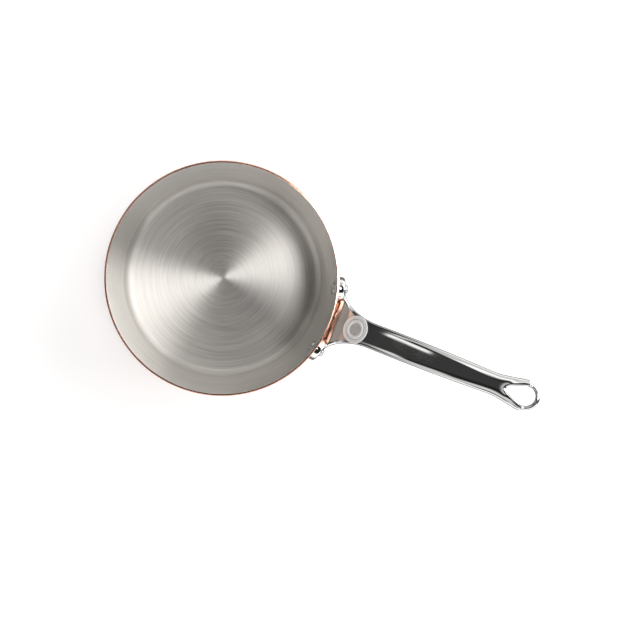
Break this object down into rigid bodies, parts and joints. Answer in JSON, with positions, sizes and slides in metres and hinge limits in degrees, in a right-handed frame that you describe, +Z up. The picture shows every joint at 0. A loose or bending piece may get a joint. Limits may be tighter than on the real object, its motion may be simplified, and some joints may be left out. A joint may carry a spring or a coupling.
{
  "type": "saucepan",
  "caption": "Deep round copper saucepan with a bonded steel lining and a long cast handle, riveted on below the rim and pierced at its end for hanging.",
  "frame": {"origin": "centre of the underside of the base, on the surface the pan stands on", "axes": "+Z up through the open mouth, +X along the handle, +Y completes a right-handed frame"},
  "size_m": [0.3575, 0.2, 0.1878],
  "materials": {
    "copper": "polished",
    "brushed_lining": "turned and brushed in rings",
    "polished_casting": "mirror polished",
    "rivet_steel": "satin"
  },
  "bodies": {
    "root": {"copper_shell": "copper", "steel_lining": "brushed_lining", "handle_casting": "polished_casting", "rivet_left": "rivet_steel", "rivet_right": "rivet_steel"}
  },
  "joints": []
}
